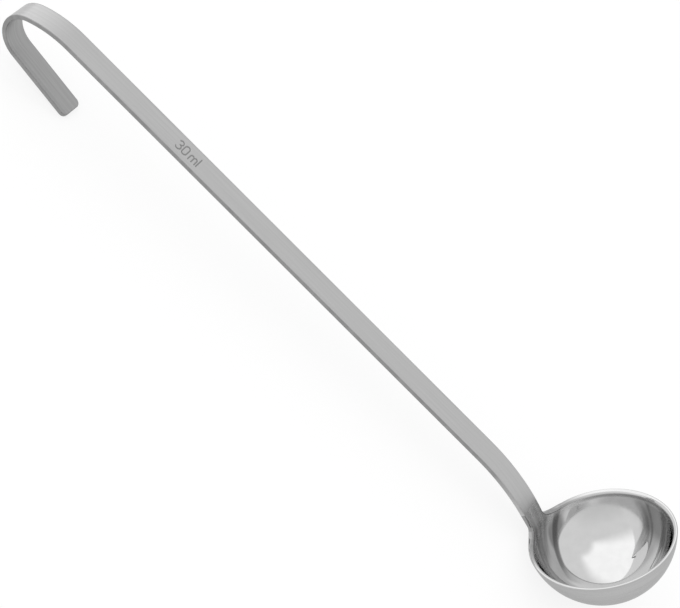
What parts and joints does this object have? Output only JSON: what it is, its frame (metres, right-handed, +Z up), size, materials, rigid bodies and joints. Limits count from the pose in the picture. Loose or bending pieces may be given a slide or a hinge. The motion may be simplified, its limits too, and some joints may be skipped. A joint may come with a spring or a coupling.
{
  "type": "ladle",
  "caption": "Small stainless-steel serving ladle with a deep round bowl, a flat bar handle and a hooked end for hanging.",
  "frame": {"origin": "on the table under the middle of the ladle, which lies at rest on the bowl's belly and the hook's tip", "axes": "+X from the hook to the bowl, +Y across the bar, +Z up from the table; the ladle is symmetric about the XZ plane"},
  "size_m": [0.3416, 0.0598, 0.0494],
  "materials": {
    "steel_polished": "stainless steel, mirror polished inside and on the neck tab, satin outside",
    "steel_ground": "stainless weld, ground flush and brushed",
    "steel_satin": "stainless steel with a satin brushed finish along the bar"
  },
  "bodies": {
    "root": {"bowl": "steel_polished", "neck_weld": "steel_ground", "handle": "steel_satin"}
  },
  "joints": []
}
